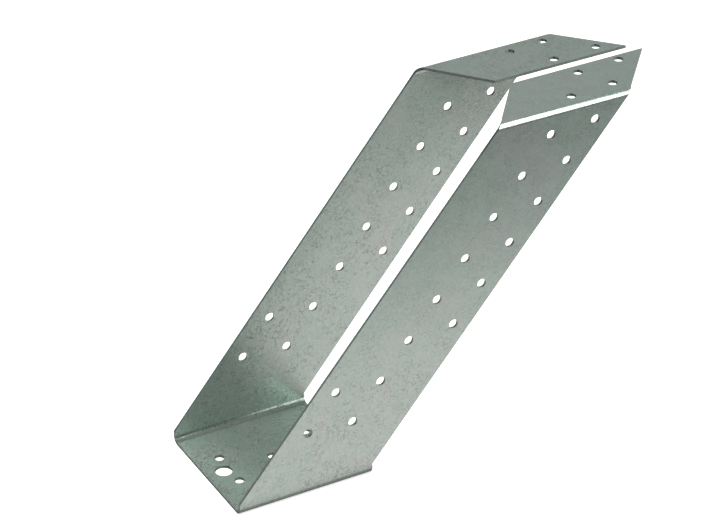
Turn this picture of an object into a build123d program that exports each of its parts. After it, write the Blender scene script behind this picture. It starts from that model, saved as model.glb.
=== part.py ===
from build123d import *
import math
import os

# Purlin anchor folded from one strip of sheet steel. Millimetres, +Z up.
# Origin: centre of the seat, on its underside. X runs the way the legs lean.
# The left leg is on +Y, the right leg on -Y. Heights of a leg's features run along the leg.

# Sheet and strip
thickness = 1.5          # sheet
inner_radius = 2.85      # inside of every fold
inside_width = 72.0      # clear width between the legs at the seat
strip_width = 75.6       # strip measured along X, also the seat's length
slant = 39.76            # lean of the slanted edges away from upright, degrees
opening_left = 1.04      # how far the left leg opens outwards from square, degrees
slant_start_left = 6.5   # height at which the left leg's slanted edges pass the seat's ends
slant_start_right = 6.7
height_left = 181.2      # underside of seat to top of left lip
height_right = 185.4
lip_depth_left = 34.0    # outer face of the leg to the free edge of its lip
lip_depth_right = 32.3
lip_slant_front = 38.3   # lean of the lips' front edges away from Y, degrees
lip_slant_rear = 41.2

# Nail holes in the legs: lines parallel to the slanted edges, each with its distance behind the
# front slanted edge and the height of its lowest hole; the first two lines run up to the top fold
nail_radius = 2.5
nail_pitch = 25.0        # along the slant
line_1_offset, line_1_rise = strip_width / 2 + 1.8, 38.3
line_2_offset, line_2_rise = strip_width - 11.95, 78.7
line_3_offset, line_3_rise, line_3_count = 13.1, 39.6, 2
right_line_drop = 2.0    # how much nearer the seat the right leg's holes are
fold_clearance = 1.8     # middle of the highest holes to the start of the top fold, at least

# Holes in the seat, measured from its end edges and its middle
seat_nail_inset = 13.1
seat_nail_half_gap = 11.2
seat_bolt_inset = 9.9
seat_bolt_radius = 4.5

# Holes in the lips: distance behind the lip's front edge, distance from its free edge
left_lip_holes = {"fold_front": (41.6, 23.5), "fold_rear": (63.9, 25.6),
                  "edge_front": (42.7, 5.6), "edge_rear": (69.4, 6.7)}
right_lip_holes = {"fold_front": (line_1_offset, 25.4), "fold_rear": (line_2_offset, 23.8),
                   "edge_front": (line_1_offset + 0.8, 6.1), "edge_rear": (line_2_offset + 0.7, 4.4)}

# Sizes that follow from the ones above; LEFT and RIGHT are also the signs of the legs' Y
LEFT, RIGHT = 1, -1
outer_radius = inner_radius + thickness
mid_radius = inner_radius + thickness / 2
half_outside = inside_width / 2 + thickness
front = -strip_width / 2
lean = math.tan(math.radians(slant))
nail_step = nail_pitch * math.cos(math.radians(slant))
opening = {LEFT: opening_left, RIGHT: 0.0}
slant_start = {LEFT: slant_start_left, RIGHT: slant_start_right}
height = {LEFT: height_left, RIGHT: height_right}
lip_depth = {LEFT: lip_depth_left, RIGHT: lip_depth_right}
line_drop = {LEFT: 0.0, RIGHT: right_line_drop}
lip_hole_places = {LEFT: left_lip_holes, RIGHT: right_lip_holes}

# Cutting blocks reach further than the part, and past its middle
overlap = 2.0
reach_z = max(height_left, height_right) + overlap
reach_x = 2 * (strip_width + reach_z)


def stand(side):
    """Opens what is built upright to the leg's own angle, about the seat's outer lower corner."""
    corner = side * half_outside
    return Pos(0, corner, 0) * Rot(-side * opening[side], 0, 0) * Pos(0, -corner, 0)


def edge_x(side, z):
    """Position of a leg's front slanted edge at height z."""
    return front + lean * (z - slant_start[side])


def face_y(side, inset, z):
    """Position of a leg's outer face at height z above the floor, or of a face inset from it."""
    turn = math.radians(opening[side])
    return side * (half_outside + z * math.tan(turn) - inset / math.cos(turn))


def between_legs(inset, radius):
    """Outline in YZ between the legs' faces, down to the seat's face at the same inset."""
    corners = [(face_y(RIGHT, inset, inset), inset), (face_y(LEFT, inset, inset), inset),
               (face_y(LEFT, inset, reach_z), reach_z), (face_y(RIGHT, inset, reach_z), reach_z)]
    outline = make_face(Polyline(*corners, close=True))
    return fillet(outline.vertices().group_by(Axis.Y)[0], radius)


def channel():
    """Seat, lower folds and legs as one long channel, not yet cut to the strip's outline."""
    section = between_legs(0, outer_radius) - between_legs(thickness, inner_radius)
    start = front - 2 * outer_radius
    body = Pos(start, 0, 0) * (Plane.YZ * extrude(section, amount=reach_x))
    for side in (LEFT, RIGHT):
        above = Box(reach_x, half_outside + 2 * overlap, reach_z, align=(Align.MIN, Align.CENTER, Align.MIN))
        body -= stand(side) * Pos(start, side * half_outside / 2, height[side] - outer_radius) * above
    return body


def beyond_seat(end):
    """Block past the front (-1) or rear (+1) end of the seat."""
    along = Align.MIN if end > 0 else Align.MAX
    block = Box(reach_x, 2 * reach_x, 2 * reach_z, align=(along, Align.CENTER, Align.CENTER))
    return Pos(end * strip_width / 2, 0, 0) * block


def beyond_slant(side, end):
    """Block past the front (-1) or rear (+1) slanted edge of one leg, reaching past the middle."""
    shift = strip_width if end > 0 else 0
    start_y, low, high, far = -side * overlap, -overlap, reach_z, end * reach_x
    outline = [(edge_x(side, low) + shift, start_y, low), (edge_x(side, high) + shift, start_y, high),
               (far, start_y, high), (far, start_y, low)]
    face = make_face(Polyline(*outline, close=True))
    return stand(side) * extrude(face, amount=half_outside + 3 * overlap, dir=(0, side, 0))


def seat_and_legs():
    """The channel cut to the strip's outline: square-ended seat, then slanted legs."""
    body = channel() - beyond_seat(-1)
    for side in (LEFT, RIGHT):
        body -= beyond_slant(side, -1)
        body -= beyond_seat(1) & beyond_slant(side, 1)
    return body


def bend_section(side, turn):
    """Radial face across the strip at one angle of the top fold, wider than the sheet is thick."""
    y0, z0 = side * (half_outside - outer_radius), height[side] - outer_radius
    x0 = edge_x(side, z0) + lean * mid_radius * turn
    near, far = inner_radius / 3, outer_radius + overlap
    corners = []
    for r, x in ((near, x0), (near, x0 + strip_width), (far, x0 + strip_width), (far, x0)):
        corners.append((x, y0 + side * r * math.cos(turn), z0 + r * math.sin(turn)))
    return make_face(Polyline(*corners, close=True))


def top_bend(side):
    """Quarter-round fold between leg and lip; its ends follow the strip's slanted edges round."""
    steps = 6
    swept = loft([bend_section(side, math.pi / 2 * i / steps) for i in range(steps + 1)])
    y0, z0 = side * (half_outside - outer_radius), height[side] - outer_radius
    tube = Plane.YZ * extrude(Circle(outer_radius) - Circle(inner_radius), amount=reach_x)
    return (Pos(front, y0, z0) * tube) & swept


def lip_edge_x(side, inward, end):
    """Front (-1) or rear (+1) edge of a lip at a distance inward from its leg's outer face."""
    run_out = edge_x(side, height[side] - outer_radius) + lean * mid_radius * math.pi / 2
    angle, shift = (lip_slant_rear, strip_width) if end > 0 else (lip_slant_front, 0)
    return run_out + shift + math.tan(math.radians(angle)) * (inward - outer_radius)


def lip(side):
    """Flat lip, turned inwards over the space between the legs."""
    outline = [(lip_edge_x(side, inward, end), side * (half_outside - inward)) for inward, end in
               ((outer_radius, -1), (outer_radius, 1), (lip_depth[side], 1), (lip_depth[side], -1))]
    face = make_face(Polyline(*outline, close=True))
    return Pos(0, 0, height[side] - thickness) * extrude(face, amount=thickness, dir=(0, 0, 1))


def fitting_count(side, rise):
    """Number of holes of a line that fit below the leg's top fold."""
    highest = height[side] - outer_radius - fold_clearance
    return math.floor((highest - rise) / nail_step) + 1


def leg_holes(side):
    """Nail holes in one leg."""
    holes = []
    for offset, rise, count in ((line_1_offset, line_1_rise, None), (line_2_offset, line_2_rise, None),
                                (line_3_offset, line_3_rise, line_3_count)):
        lowest = rise - line_drop[side]
        for i in range(count or fitting_count(side, lowest)):
            z = lowest + i * nail_step
            bar = Rot(90, 0, 0) * Cylinder(nail_radius, 4 * thickness)
            holes.append(Pos(edge_x(side, z) + offset, side * half_outside, z) * bar)
    return holes


def upright_hole(x, y, z, radius):
    """Hole through level sheet whose upper face is at height z."""
    return Pos(x, y, z) * Cylinder(radius, 4 * thickness)


def seat_holes():
    """Large hole between two nail holes at each end of the seat, one nail hole in its middle."""
    holes = [upright_hole(0, 0, thickness, nail_radius)]
    for end in (-1, 1):
        holes.append(upright_hole(end * (strip_width / 2 - seat_bolt_inset), 0, thickness, seat_bolt_radius))
        for y in (-seat_nail_half_gap, seat_nail_half_gap):
            holes.append(upright_hole(end * (strip_width / 2 - seat_nail_inset), y, thickness, nail_radius))
    return holes


def lip_holes(side):
    """Four nail holes in one lip."""
    holes = []
    for behind, from_edge in lip_hole_places[side].values():
        inward = lip_depth[side] - from_edge
        x = lip_edge_x(side, inward, -1) + behind
        holes.append(upright_hole(x, side * (half_outside - inward), height[side], nail_radius))
    return holes


def anchor_sheet():
    """The whole folded strip as one solid."""
    body = seat_and_legs()
    for side in (LEFT, RIGHT):
        body += stand(side) * top_bend(side)
        body += stand(side) * lip(side)
        for hole in leg_holes(side) + lip_holes(side):
            body -= stand(side) * hole
    for hole in seat_holes():
        body -= hole
    return body.clean()


os.makedirs("parts", exist_ok=True)
sheet = anchor_sheet()
export_step(sheet.solids()[0], "parts/anchor_sheet.step")
print("solids", len(sheet.solids()), "valid", sheet.is_valid, "volume", round(sheet.volume, 1))
print("box", sheet.bounding_box())
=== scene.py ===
"""Purlin anchor folded from galvanised sheet, on a pale floor in soft studio light. Metres, +Z up."""

import math

import bpy
from mathutils import Matrix, Vector


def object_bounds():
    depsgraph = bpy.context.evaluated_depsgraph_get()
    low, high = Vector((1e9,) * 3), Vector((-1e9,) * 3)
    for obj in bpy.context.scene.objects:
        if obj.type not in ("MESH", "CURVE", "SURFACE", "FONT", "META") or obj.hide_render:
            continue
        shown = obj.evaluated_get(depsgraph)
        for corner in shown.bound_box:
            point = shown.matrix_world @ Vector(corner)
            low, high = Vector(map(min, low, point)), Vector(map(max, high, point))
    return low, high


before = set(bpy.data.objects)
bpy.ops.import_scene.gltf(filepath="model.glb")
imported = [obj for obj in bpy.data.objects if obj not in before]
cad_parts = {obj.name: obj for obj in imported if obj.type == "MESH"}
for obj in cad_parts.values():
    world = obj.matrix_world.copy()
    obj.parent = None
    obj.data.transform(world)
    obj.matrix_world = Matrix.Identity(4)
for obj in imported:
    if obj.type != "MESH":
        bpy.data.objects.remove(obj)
cad_low, cad_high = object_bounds()
cad_low, cad_high = list(cad_low), list(cad_high)

# Camera, found from the places of the nail holes in the photo
PHOTO_WIDTH = 710
SENSOR = 36.0
FOCAL_PX = 3204.9
AZIMUTH, ELEVATION = -28.873, 31.841
CAMERA_IN_VIEW_AXES = (0.07544, 0.10729, 1.62693)   # right, up, back from the seat's front edge
SEAT_FRONT = Vector((-0.0378, 0.0, 0.00075))
CLIP = (0.05, 50)

# Zinc coat: linear colours and finish
ZINC_GREEN = (0.434, 0.530, 0.474, 1.0)
ZINC_WARM = (0.462, 0.526, 0.486, 1.0)
METALLIC = 0.78
ROUGHNESS = (0.265, 0.295)
FOLD_SMOOTHING = 0.5         # how much less rough the top folds are

# Noises in the zinc: cells per metre, detail, roughness, distortion
CLOUDS = (42.0, 3.0, 0.55, 0.4)
BLOTCHES = (150.0, 4.0, 0.6, 0.6)
GRAIN = (620.0, 3.0, 0.6, 0.0)
CRUMPLE = (300.0, 3.0, 0.6, 1.8)
PATCHES = (60.0, 2.0, 0.5, 0.5)

# The parts of a noise's range that its effects run over
NOISE_MIDDLE = (0.3, 0.7)
CLOUD_RANGE = (0.42, 0.68)
CRUMPLE_RANGE = (0.44, 0.56)
PATCH_RANGE = (0.36, 0.56)

# Veins: a net of cells whose lines wander
VEIN_SCALE = 300.0           # cells per metre
VEIN_WIDTH = 0.10            # share of a cell
WAVE_SCALE = 200.0
WAVE_REACH = 0.009
VEIN_OUTSIDE_PATCHES = 0.10
VEIN_LEFT = (-0.02, 0.03)    # Y over which the left leg's veins set in
VEIN_LOW = (0.03, 0.16)      # Z over which they fade elsewhere
VEIN_HIGH_SHARE = 0.15       # what is left of them above

# Tones: factors on the colour, and shares by which something darkens it
BLOTCH_TONE = (0.96, 1.035)
GRAIN_TONE = (0.94, 1.05)
VEIN_DARK = 0.32
EDGE_PAINTED_SHADE = (0.5, 0.75)      # painted shade on the cut edges of the legs and the seat, and of the lips
# heights over which the painted edge shade changes from the legs' level to the lips'
EDGE_SHADE_CHANGE = (0.165, 0.175)
FREE_EDGE_SHADE_SHARE = 0.3        # painted shade on the lips' free edges against that on the other cut edges
CREASE_PAINTED_SHADE = (0.12, 0.30)   # painted shade in the right and left fold at the seat
# Y over which the painted crease shade changes from the right fold's level to the left's
CREASE_SHADE_CHANGE = (-0.01, 0.01)

# Faces, told by how far their normals turn
END_FACE = (0.25, 0.35)
FREE_EDGE_FACE = (0.9, 0.95)
BENT_FACE = (0.03, 0.08)
INSIDE_LEGS = (0.028, 0.030)
TOP_FOLD_HEIGHT = (0.05, 0.15)

# Relief of the zinc
BUMP_STRENGTH = 0.5
BUMP_DISTANCE = 0.0003
GRAIN_RELIEF = 0.15
CRUMPLE_RELIEF = 0.8
VEIN_RELIEF = 0.5

# Light levels of the room and the floor; distances run from the part's middle towards -Y
WHITE = (1.0, 1.0, 1.0, 1.0)
ROOM = 0.28
PAINTED_POOL = (0.94, 0.11)          # painted pool of light on the floor in reflections, near the part and far from it
PAINTED_POOL_SPAN = (0.13, 0.31)
# Warm tint of the painted pool of light near the part, and the distances over which it fades
PAINTED_POOL_TINT = (1.06, 0.96, 0.98, 1.0)
POOL_TINT_SPAN = (0.11, 0.22)
POOL_TINT_FAR = 0.15
PAPER = (0.8, 0.8, 0.8, 1)
CAMERA_GLOW = 0.73

# Floor
FLOOR_HALF = 6.0
FLOOR_DROP = 0.0002
FOOTPRINT_HALF = 0.0375
SHADOW_REACH = 0.010
SHADOW_LEVEL = 0.25

# Lamps
AIM = (0.1, 0.0, 0.1)
SWEEP_ALONG, SWEEP_ACROSS = 0.41, 0.912
FRONT_SWEEP = (135.0, 207.0)
FRONT_DISTANCE, FRONT_WIDTH, FRONT_RADIANCE = 1.3, 0.40, 4.5
OVERHEAD_WAY = Vector((-0.36, -0.20, 0.9))
OVERHEAD_DISTANCE, OVERHEAD_SIZE, OVERHEAD_RADIANCE = 1.2, 1.0, 7.6


def add_camera():
    az, el = math.radians(AZIMUTH), math.radians(ELEVATION)
    back = Vector((math.sin(az) * math.cos(el), -math.cos(az) * math.cos(el), math.sin(el)))
    right = Vector((0, 0, 1)).cross(back).normalized()
    up = back.cross(right)
    r, u, b = CAMERA_IN_VIEW_AXES
    data = bpy.data.cameras.new("camera")
    data.sensor_width = SENSOR
    data.lens = FOCAL_PX / PHOTO_WIDTH * SENSOR
    data.clip_start, data.clip_end = CLIP
    cam = bpy.data.objects.new("camera", data)
    bpy.context.scene.collection.objects.link(cam)
    turn = Matrix((right, up, back)).transposed().to_4x4()
    cam.matrix_world = Matrix.Translation(SEAT_FRONT + right * r + up * u + back * b) @ turn
    bpy.context.scene.camera = cam


class Nodes:
    """Small helper for building a node tree."""

    def __init__(self, tree):
        self.tree = tree
        tree.nodes.clear()

    def new(self, kind, **settings):
        node = self.tree.nodes.new(kind)
        for key, value in settings.items():
            setattr(node, key, value)
        return node

    def put(self, socket, value):
        if isinstance(value, bpy.types.NodeSocket):
            self.tree.links.new(value, socket)
        else:
            socket.default_value = value

    def math(self, operation, a, b=0.0):
        node = self.new("ShaderNodeMath", operation=operation)
        self.put(node.inputs[0], a)
        self.put(node.inputs[1], b)
        return node.outputs[0]

    def times(self, product, *factors):
        for factor in factors:
            product = self.math("MULTIPLY", product, factor)
        return product

    def rest(self, share):
        """What a share leaves of 1."""
        return self.math("SUBTRACT", 1.0, share)

    def size(self, value):
        return self.math("ABSOLUTE", value)

    def ramp(self, value, low, high, to_low=0.0, to_high=1.0, smooth=True):
        kind = "SMOOTHSTEP" if smooth else "LINEAR"
        node = self.new("ShaderNodeMapRange", interpolation_type=kind)
        for index, item in enumerate((value, low, high, to_low, to_high)):
            self.put(node.inputs[index], item)
        return node.outputs[0]

    def noise(self, vector, scale, detail, rough, distortion):
        node = self.new("ShaderNodeTexNoise")
        self.put(node.inputs["Vector"], vector)
        node.inputs["Scale"].default_value = scale
        node.inputs["Detail"].default_value = detail
        node.inputs["Roughness"].default_value = rough
        node.inputs["Distortion"].default_value = distortion
        return node.outputs[0]

    def wavy(self, vector, scale, reach):
        """The vector shifted by a noise, along each axis by up to the reach."""
        noise = self.new("ShaderNodeTexNoise")
        self.put(noise.inputs["Vector"], vector)
        noise.inputs["Scale"].default_value = scale
        shift = self.new("ShaderNodeVectorMath", operation="MULTIPLY_ADD")
        self.put(shift.inputs[0], noise.outputs["Color"])
        shift.inputs[1].default_value = (reach, reach, reach)
        self.put(shift.inputs[2], vector)
        return shift.outputs[0]

    def net(self, vector, scale, width):
        """1 on the lines of a net of cells, falling to 0 at that share of a cell's size."""
        cells = self.new("ShaderNodeTexVoronoi", feature="DISTANCE_TO_EDGE")
        self.put(cells.inputs["Vector"], vector)
        cells.inputs["Scale"].default_value = scale
        return self.ramp(cells.outputs["Distance"], 0.0, width, 1.0, 0.0)

    def mix(self, factor, a, b, blend="MIX"):
        node = self.new("ShaderNodeMix", data_type="RGBA", blend_type=blend)
        self.put(node.inputs[0], factor)
        self.put(node.inputs[6], a)
        self.put(node.inputs[7], b)
        return node.outputs[2]

    def split(self, vector):
        node = self.new("ShaderNodeSeparateXYZ")
        self.put(node.inputs[0], vector)
        return node.outputs


def galvanised():
    """Hot-dip zinc: soft clouds of green and warm grey, fine dark veins, painted shade on the cut edges.
    """
    mat = bpy.data.materials.new("galvanised_steel")
    mat.use_nodes = True
    n = Nodes(mat.node_tree)
    spot = n.new("ShaderNodeTexCoord").outputs["Object"]
    _, y, z = n.split(spot)

    clouds = n.noise(spot, *CLOUDS)
    blotch = n.noise(spot, *BLOTCHES)
    grain = n.noise(spot, *GRAIN)
    crumple = n.noise(spot, *CRUMPLE)

    # Veins: a wavy net of thin dark lines, broken up and kept mostly to patches;
    # the left leg has most of them, the upper right leg hardly any
    net = n.net(n.wavy(spot, WAVE_SCALE, WAVE_REACH), VEIN_SCALE, VEIN_WIDTH)
    line = n.times(net, n.ramp(crumple, *CRUMPLE_RANGE))
    patch = n.ramp(n.noise(spot, *PATCHES), *PATCH_RANGE, VEIN_OUTSIDE_PATCHES, 1.0)
    left = n.ramp(y, *VEIN_LEFT)
    low = n.ramp(z, *VEIN_LOW, 1.0, VEIN_HIGH_SHARE)
    share = n.math("MAXIMUM", left, low)
    vein = n.times(line, patch, share)

    colour = n.mix(n.ramp(clouds, *CLOUD_RANGE), ZINC_GREEN, ZINC_WARM)
    blotch_tone = n.ramp(blotch, *NOISE_MIDDLE, *BLOTCH_TONE)
    grain_tone = n.ramp(grain, *NOISE_MIDDLE, *GRAIN_TONE)
    tone = n.times(blotch_tone, grain_tone, n.rest(n.times(vein, VEIN_DARK)))

    # Painted shade on the cut edges: faces turned along X, and the lips' free edges between the legs
    face = n.new("ShaderNodeNewGeometry")
    nx, ny, nz = n.split(face.outputs["True Normal"])
    end = n.ramp(n.size(nx), *END_FACE)
    inside = n.ramp(n.size(y), *INSIDE_LEGS, 1.0, 0.0)
    free = n.times(n.ramp(n.size(ny), *FREE_EDGE_FACE), inside)
    cut_edge_shade = n.math("MAXIMUM", end, n.times(free, FREE_EDGE_SHADE_SHARE))
    tone = n.times(tone, n.rest(n.times(cut_edge_shade, n.ramp(z, *EDGE_SHADE_CHANGE, *EDGE_PAINTED_SHADE))))

    # Folds: smoother zinc round the top ones, painted shade in the ones at the seat
    bent = n.ramp(n.math("MINIMUM", n.size(ny), n.size(nz)), *BENT_FACE)
    fold = n.times(bent, n.ramp(z, *TOP_FOLD_HEIGHT))
    crease_shade = n.times(n.math("SUBTRACT", bent, fold), n.ramp(y, *CREASE_SHADE_CHANGE, *CREASE_PAINTED_SHADE))
    tone = n.times(tone, n.rest(crease_shade))
    roughness = n.ramp(blotch, *NOISE_MIDDLE, *ROUGHNESS)
    roughness = n.times(roughness, n.rest(n.times(fold, FOLD_SMOOTHING)))

    relief = n.math("SUBTRACT", n.times(crumple, CRUMPLE_RELIEF), n.times(vein, VEIN_RELIEF))
    height = n.math("ADD", n.times(grain, GRAIN_RELIEF), n.times(relief, share))
    bump = n.new("ShaderNodeBump")
    bump.inputs["Strength"].default_value = BUMP_STRENGTH
    bump.inputs["Distance"].default_value = BUMP_DISTANCE
    n.put(bump.inputs["Height"], height)

    shader = n.new("ShaderNodeBsdfPrincipled")
    shader.inputs["Metallic"].default_value = METALLIC
    n.put(shader.inputs["Base Color"], n.mix(1.0, colour, tone, "MULTIPLY"))
    n.put(shader.inputs["Roughness"], roughness)
    n.put(shader.inputs["Normal"], bump.outputs[0])
    n.put(n.new("ShaderNodeOutputMaterial").inputs[0], shader.outputs[0])
    return mat


def paper():
    """Pale paper: white to the camera; in reflections a painted pool of light, bright near the part,
    dimmer towards -Y.
    """
    mat = bpy.data.materials.new("paper")
    mat.use_nodes = True
    n = Nodes(mat.node_tree)
    rays = n.new("ShaderNodeLightPath").outputs
    glossy = n.math("MAXIMUM", rays["Is Glossy Ray"], rays["Is Transmission Ray"])
    spot = n.new("ShaderNodeNewGeometry").outputs["Position"]
    x, y, _ = n.split(spot)
    away = n.times(y, -1.0)
    painted_pool = n.ramp(away, *PAINTED_POOL_SPAN, *PAINTED_POOL, smooth=False)

    # Painted shadow of the part in reflections, close round the seat
    outside_x = n.math("SUBTRACT", n.size(x), FOOTPRINT_HALF)
    outside_y = n.math("SUBTRACT", n.size(y), FOOTPRINT_HALF)
    outside = n.math("MAXIMUM", outside_x, outside_y)
    painted_pool = n.times(painted_pool, n.ramp(outside, 0.0, SHADOW_REACH, SHADOW_LEVEL, 1.0))

    level = n.math("ADD", n.times(rays["Is Camera Ray"], CAMERA_GLOW), n.times(glossy, painted_pool))
    pool_tint = n.times(glossy, n.ramp(away, *POOL_TINT_SPAN, 1.0, POOL_TINT_FAR))
    glow = n.new("ShaderNodeEmission")
    n.put(glow.inputs["Color"], n.mix(pool_tint, WHITE, PAINTED_POOL_TINT))
    n.put(glow.inputs["Strength"], level)
    diffuse = n.new("ShaderNodeBsdfDiffuse")
    diffuse.inputs["Color"].default_value = PAPER
    both = n.new("ShaderNodeAddShader")
    n.put(both.inputs[0], diffuse.outputs[0])
    n.put(both.inputs[1], glow.outputs[0])
    seen = n.new("ShaderNodeMixShader")
    n.put(seen.inputs[0], glossy)
    n.put(seen.inputs[1], both.outputs[0])
    n.put(seen.inputs[2], glow.outputs[0])
    n.put(n.new("ShaderNodeOutputMaterial").inputs[0], seen.outputs[0])
    return mat


def add_floor():
    """Square sheet of paper just under the seat."""
    h = FLOOR_HALF
    mesh = bpy.data.meshes.new("floor")
    mesh.from_pydata([(-h, -h, 0), (h, -h, 0), (h, h, 0), (-h, h, 0)], [], [(0, 1, 2, 3)])
    floor = bpy.data.objects.new("floor", mesh)
    floor.location.z = -FLOOR_DROP
    bpy.context.scene.collection.objects.link(floor)
    floor.data.materials.append(paper())


def add_world():
    """White to the camera, a grey room to everything else."""
    world = bpy.data.worlds.new("room")
    bpy.context.scene.world = world
    world.use_nodes = True
    n = Nodes(world.node_tree)
    rays = n.new("ShaderNodeLightPath").outputs
    back = n.new("ShaderNodeBackground")
    back.inputs["Color"].default_value = WHITE
    n.put(back.inputs["Strength"], n.math("ADD", ROOM, n.times(rays["Is Camera Ray"], 1.0 - ROOM)))
    n.put(n.new("ShaderNodeOutputWorld").inputs[0], back.outputs[0])


def sweep(angle):
    """Way in which a fold along X mirrors the room to the photo's camera: 35 lip, 90 up, 215 leg."""
    a = math.radians(angle)
    return Vector((SWEEP_ALONG, SWEEP_ACROSS * math.cos(a), SWEEP_ACROSS * math.sin(a)))


def add_softbox(name, way, long_way, distance, width, length, radiance):
    """Rectangular lamp that way from AIM, its length along long_way, hidden from the camera."""
    way = way.normalized()
    side = long_way.cross(way).normalized()
    data = bpy.data.lights.new(name, "AREA")
    data.shape = "RECTANGLE"
    data.size, data.size_y = width, length
    data.energy = radiance * math.pi * width * length
    lamp = bpy.data.objects.new(name, data)
    turn = Matrix((side, way.cross(side), way)).transposed()
    lamp.matrix_world = Matrix.Translation(Vector(AIM) + way * distance) @ turn.to_4x4()
    lamp.visible_camera = False
    bpy.context.scene.collection.objects.link(lamp)
    return lamp


def add_front_lamp():
    """Softbox that the right top fold mirrors as a white line; it doesn't light matt surfaces."""
    first, last = FRONT_SWEEP
    middle = (first + last) / 2
    length = 2 * FRONT_DISTANCE * math.tan(math.radians((last - first) / 2))
    along = sweep(middle + 1) - sweep(middle - 1)
    lamp = add_softbox("front", sweep(middle), along, FRONT_DISTANCE, FRONT_WIDTH, length, FRONT_RADIANCE)
    lamp.visible_diffuse = False


def add_overhead_lamp():
    """Softbox above; hidden from reflections, which it would turn white on the seat."""
    lamp = add_softbox("overhead", OVERHEAD_WAY, Vector((0, 1, 0)), OVERHEAD_DISTANCE,
                       OVERHEAD_SIZE, OVERHEAD_SIZE, OVERHEAD_RADIANCE)
    lamp.visible_glossy = False


add_camera()
add_world()
add_floor()
add_front_lamp()
add_overhead_lamp()

zinc = galvanised()
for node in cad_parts.values():
    node.data.materials.clear()
    node.data.materials.append(zinc)

bpy.context.scene.view_settings.view_transform = "Standard"
